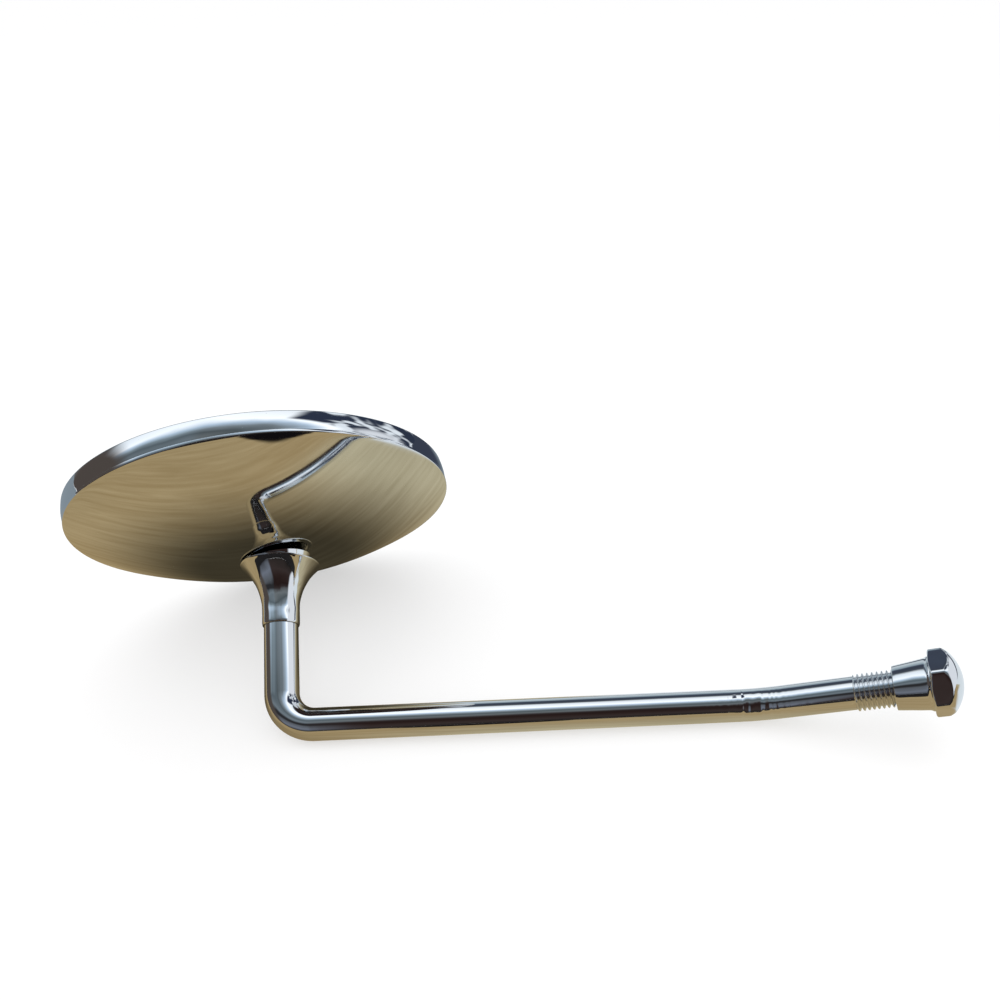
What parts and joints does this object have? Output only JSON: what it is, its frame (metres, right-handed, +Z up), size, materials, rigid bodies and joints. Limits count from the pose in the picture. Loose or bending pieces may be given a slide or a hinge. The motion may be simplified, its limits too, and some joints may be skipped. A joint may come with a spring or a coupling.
{
  "type": "handlebar rear-view mirror",
  "caption": "Round chrome handlebar mirror: ball-jointed head with domed back, flared collar, bent threaded stem and hex cap nut.",
  "frame": {"origin": "under the middle of the whole mirror as it lies, on the surface it rests on", "axes": "+X along the long leg of the stem towards the threaded end, +Z up from the surface, +Y from the stem towards the head"},
  "size_m": [0.2376, 0.1068, 0.0834],
  "materials": {
    "chrome": "mirror bright",
    "zinc_steel": "zinc plated",
    "nylon": "satin",
    "rubber": "satin black",
    "glass": "clear",
    "silver": "silvered",
    "foam": "foam"
  },
  "bodies": {
    "stem": {"stem_rod": "chrome", "ferrule": "chrome", "ball_stud": "zinc_steel"},
    "seat": {"ball_seat": "nylon"},
    "cup": {"pressure_cup": "nylon"},
    "head": {"dome_shell": "chrome", "rim_ring": "chrome", "glass_gasket": "rubber", "mirror_glass": "glass", "mirror_coat": "silver", "backing_pad": "foam", "disc_spring": "zinc_steel", "clamp_plate": "zinc_steel", "weld_stud_1": "zinc_steel", "weld_stud_2": "zinc_steel", "weld_stud_3": "zinc_steel", "lock_washer_1": "zinc_steel", "lock_washer_2": "zinc_steel", "lock_washer_3": "zinc_steel", "clamp_nut_1": "zinc_steel", "clamp_nut_2": "zinc_steel", "clamp_nut_3": "zinc_steel"},
    "nut_carrier": {"lock_ring": "nylon"},
    "nut": {"cap_nut": "chrome"}
  },
  "joints": [
    {"name": "head_swivel", "type": "hinge", "parent": "stem", "child": "seat", "pos_m": [-0.06471, 0.00453, 0.03069], "axis": [-0.0785, 0.8236, 0.5618], "continuous": true},
    {"name": "head_tilt", "type": "hinge", "parent": "seat", "child": "cup", "pos_m": [-0.06471, 0.00453, 0.03069], "axis": [0.5274, -0.4439, 0.7244], "range_deg": [-19.2, 0.8]},
    {"name": "head_spin", "type": "hinge", "parent": "cup", "child": "head", "pos_m": [-0.06471, 0.00453, 0.03069], "axis": [-0.2126, 0.7565, 0.6184], "continuous": true},
    {"name": "nut_travel", "type": "slide", "parent": "stem", "child": "nut_carrier", "axis": [0.9219, -0.2174, 0.3206], "range_m": [-0.004, 0.0075]},
    {"name": "nut_turn", "type": "hinge", "parent": "nut_carrier", "child": "nut", "pos_m": [0.1127, -0.04428, 0.0199], "axis": [0.9219, -0.2174, 0.3206], "range_deg": [-1152.1, 2160.1]}
  ],
  "couplings": [
    {"joint": "nut_turn", "follows": "nut_travel", "rad_per_m": 5026.5}
  ]
}
